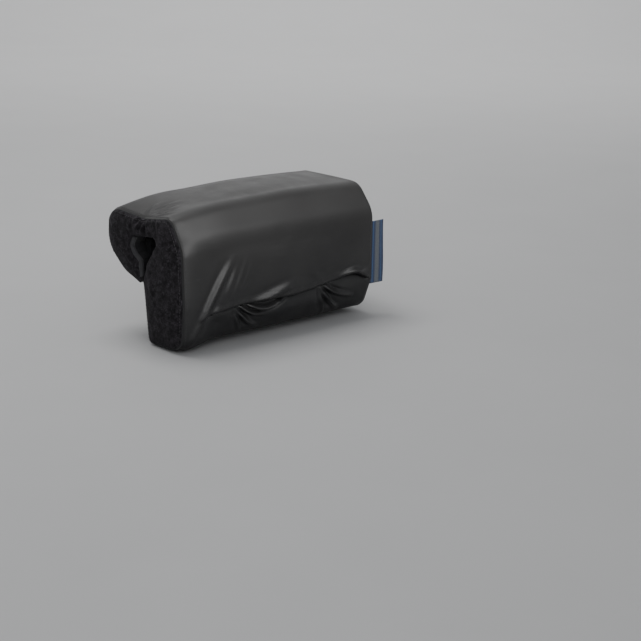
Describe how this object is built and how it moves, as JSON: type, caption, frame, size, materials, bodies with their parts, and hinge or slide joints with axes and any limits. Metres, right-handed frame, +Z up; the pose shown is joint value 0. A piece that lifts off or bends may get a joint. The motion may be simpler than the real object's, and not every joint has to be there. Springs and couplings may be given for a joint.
{
  "type": "wheelchair armrest bolster pad",
  "caption": "Foam-filled vinyl wrap folded over a wheelchair armrest, with a long hip lobe, a short outer lobe, velour ends and strap closures under the tube.",
  "frame": {"origin": "on the axis of the armrest tube's channel, at the pad's mid-length", "axes": "+X to the seat side, where the hip lobe hangs; +Y rearward along the armrest tube; +Z up"},
  "size_m": [0.158, 0.3445, 0.181],
  "materials": {
    "vinyl_cover": "smooth satin stretch vinyl",
    "velour_gusset": "matte brushed velour knit",
    "lining_fabric": "matte plain weave",
    "foam": "open-cell polyurethane foam",
    "webbing": "woven nylon webbing",
    "hook_tape": "hook tape",
    "loop_tape": "loop tape pile",
    "rim_tape": "grey woven binding tape",
    "zip_tape": "woven zip tape",
    "zip_coil": "nylon coil",
    "zip_metal": "black enamelled zinc",
    "label_ribbon": "woven satin ribbon"
  },
  "bodies": {
    "pad_body": {"cover_hip": "vinyl_cover", "channel_lining_hip": "lining_fabric", "front_gusset_hip": "velour_gusset", "rear_gusset_hip": "velour_gusset", "foam_top_hip": "foam", "foam_block_hip": "foam", "foam_cheek_hip": "foam", "loop_patch_front": "loop_tape", "loop_patch_rear": "loop_tape", "zip_tapes": "zip_tape", "zip_coils": "zip_coil", "zip_stops": "zip_metal"},
    "outer_flap": {"cover_outer": "vinyl_cover", "channel_lining_outer": "lining_fabric", "front_gusset_outer": "velour_gusset", "rear_gusset_outer": "velour_gusset", "mouth_rim_tape": "rim_tape", "foam_top_outer": "foam", "foam_block_outer": "foam", "foam_cheek_outer": "foam"},
    "strap_front": {"strap_front": "webbing", "hook_patch_front": "hook_tape"},
    "strap_rear": {"strap_rear": "webbing", "hook_patch_rear": "hook_tape"},
    "zip_slider": {"zip_slider": "zip_metal"},
    "zip_pull": {"zip_pull": "zip_metal"},
    "label_tab": {"label_tab": "label_ribbon"}
  },
  "joints": [
    {"name": "outer_flap_fold", "type": "hinge", "parent": "pad_body", "child": "outer_flap", "pos_m": [0.0075, 0, 0.061], "axis": [0, 1, 0], "range_deg": [0, 95]},
    {"name": "strap_front_peel", "type": "hinge", "parent": "outer_flap", "child": "strap_front", "pos_m": [-0.00121, -0.072, -0.04054], "axis": [0, 1, 0], "range_deg": [0, 75]},
    {"name": "strap_rear_peel", "type": "hinge", "parent": "outer_flap", "child": "strap_rear", "pos_m": [-0.00121, 0.072, -0.04054], "axis": [0, 1, 0], "range_deg": [0, 75]},
    {"name": "zip_travel", "type": "slide", "parent": "pad_body", "child": "zip_slider", "axis": [0, 1, 0], "range_m": [0, 0.224]},
    {"name": "zip_pull_swing", "type": "hinge", "parent": "zip_slider", "child": "zip_pull", "pos_m": [0.00847, -0.112, -0.09573], "axis": [-0.1367, 0, 0.9906], "range_deg": [0, 170]},
    {"name": "label_flex", "type": "hinge", "parent": "pad_body", "child": "label_tab", "pos_m": [0.0846, 0.1605, -0.0335], "axis": [0, 0, 1], "range_deg": [-60, 60]}
  ]
}
